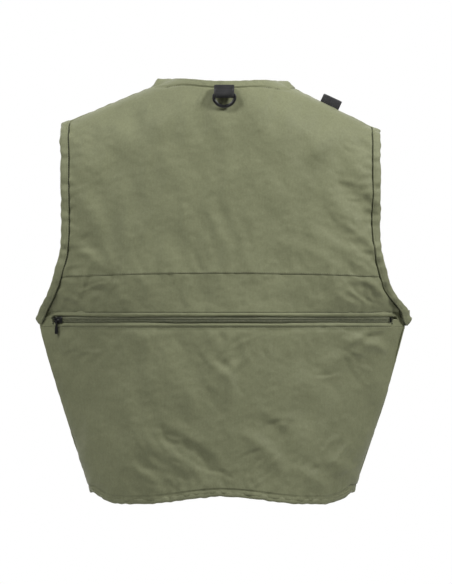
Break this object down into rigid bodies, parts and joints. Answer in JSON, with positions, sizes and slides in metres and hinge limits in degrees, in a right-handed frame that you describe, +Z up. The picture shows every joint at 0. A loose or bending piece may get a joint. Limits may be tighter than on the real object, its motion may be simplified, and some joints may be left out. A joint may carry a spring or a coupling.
{
  "type": "fishing vest",
  "caption": "Sleeveless zip-front fishing vest with flapped front pockets, a full-width zipped back pocket and D-rings for tools.",
  "frame": {"origin": "between the shoulders, on the plane where a hanger carries them", "axes": "+Z up from hem to neck, +Y out of the fronts, +X towards the wearer's right"},
  "size_m": [0.538, 0.2097, 0.617],
  "materials": {
    "shell_fabric": "matt olive plain-weave nylon",
    "binding": "folded self-fabric binding, top-stitched",
    "lining": "plain-weave lining, matt",
    "zip_tape": "woven tape with a nylon coil",
    "hook_and_loop": "hook-and-loop, matt",
    "webbing": "black ribbed webbing",
    "black_plastic": "moulded acetal, slight sheen",
    "black_metal": "black enamel, satin"
  },
  "bodies": {
    "shell": {"back_yoke_panel": "shell_fabric", "back_mid_panel": "shell_fabric", "back_pocket_panel": "shell_fabric", "back_pocket_lining": "lining", "back_neck_band": "binding", "armhole_binding_left": "binding", "armhole_binding_right": "binding", "hem_binding": "binding", "front_left_side_panel": "shell_fabric", "front_right_side_panel": "shell_fabric", "back_zip_upper_tape": "zip_tape", "back_zip_lower_tape": "zip_tape", "back_zip_end_stop_left": "black_metal", "back_zip_end_stop_right": "black_metal", "neck_webbing": "webbing", "shoulder_webbing": "webbing"},
    "front_left": {"front_left_panel": "shell_fabric", "front_left_neck_binding": "binding", "front_left_hem_binding": "binding", "front_zip_left_tape": "zip_tape", "front_zip_top_stop_left": "black_metal", "chest_pocket_left": "shell_fabric", "chest_pocket_loop_patch_left": "hook_and_loop", "lower_pocket_left": "shell_fabric", "lower_pocket_loop_patch_left": "hook_and_loop", "front_zip_box": "black_plastic"},
    "front_right": {"front_right_panel": "shell_fabric", "front_right_neck_binding": "binding", "front_right_hem_binding": "binding", "front_zip_right_tape": "zip_tape", "front_zip_top_stop_right": "black_metal", "chest_pocket_right": "shell_fabric", "chest_pocket_loop_patch_right": "hook_and_loop", "lower_pocket_right": "shell_fabric", "lower_pocket_loop_patch_right": "hook_and_loop", "front_zip_pin": "black_plastic"},
    "back_slider": {"back_zip_slider": "black_metal"},
    "back_pull": {"back_zip_pull": "black_metal"},
    "front_slider": {"front_zip_slider": "black_metal"},
    "front_pull": {"front_zip_pull": "black_metal"},
    "neck_ring": {"neck_d_ring": "black_plastic"},
    "shoulder_ring": {"shoulder_d_ring": "black_plastic"},
    "chest_flap_left": {"chest_flap_left": "shell_fabric", "chest_flap_hook_patch_left": "hook_and_loop"},
    "lower_flap_left": {"lower_flap_left": "shell_fabric", "lower_flap_hook_patch_left": "hook_and_loop"},
    "chest_flap_right": {"chest_flap_right": "shell_fabric", "chest_flap_hook_patch_right": "hook_and_loop"},
    "lower_flap_right": {"lower_flap_right": "shell_fabric", "lower_flap_hook_patch_right": "hook_and_loop"}
  },
  "joints": [
    {"name": "front_left_swing", "type": "hinge", "parent": "shell", "child": "front_left", "pos_m": [-0.162, 0.08, -0.6], "axis": [0.1009, -0.111, 0.9887], "range_deg": [0, 100]},
    {"name": "front_right_swing", "type": "hinge", "parent": "shell", "child": "front_right", "pos_m": [0.162, 0.08, -0.6], "axis": [0.1009, 0.111, -0.9887], "range_deg": [0, 100]},
    {"name": "back_zip_travel", "type": "hinge", "parent": "shell", "child": "back_slider", "pos_m": [0, 0.34223, -0.331], "axis": [0, 0, 1], "range_deg": [0, 66.4]},
    {"name": "back_zip_pull_swing", "type": "hinge", "parent": "back_slider", "child": "back_pull", "pos_m": [-0.24271, -0.02195, -0.331], "axis": [-0.5481, -0.8364, 0], "range_deg": [-80, 50]},
    {"name": "front_zip_travel", "type": "slide", "parent": "front_left", "child": "front_slider", "axis": [0, -0.1115, 0.9938], "range_m": [0, 0.379]},
    {"name": "front_zip_pull_swing", "type": "hinge", "parent": "front_slider", "child": "front_pull", "pos_m": [-0.0052, 0.07963, -0.56624], "axis": [0, 0.9938, 0.1115], "range_deg": [-85, 85]},
    {"name": "neck_d_ring_swing", "type": "hinge", "parent": "shell", "child": "neck_ring", "pos_m": [0.0025, -0.067, -0.0035], "axis": [-1, 0, 0], "range_deg": [-2, 110]},
    {"name": "shoulder_d_ring_swing", "type": "hinge", "parent": "shell", "child": "shoulder_ring", "pos_m": [0.1443, 0.0231, -0.0443], "axis": [0.9085, 0, -0.4179], "range_deg": [-2, 110]},
    {"name": "chest_flap_left_lift", "type": "hinge", "parent": "front_left", "child": "chest_flap_left", "pos_m": [-0.069, 0.03883, -0.2162], "axis": [1, 0, 0], "range_deg": [0, 110]},
    {"name": "lower_flap_left_lift", "type": "hinge", "parent": "front_left", "child": "lower_flap_left", "pos_m": [-0.08, 0.06036, -0.40799], "axis": [1, 0, 0], "range_deg": [0, 110]},
    {"name": "chest_flap_right_lift", "type": "hinge", "parent": "front_right", "child": "chest_flap_right", "pos_m": [0.069, 0.03883, -0.2162], "axis": [1, 0, 0], "range_deg": [0, 110]},
    {"name": "lower_flap_right_lift", "type": "hinge", "parent": "front_right", "child": "lower_flap_right", "pos_m": [0.08, 0.06036, -0.40799], "axis": [1, 0, 0], "range_deg": [0, 110]}
  ]
}
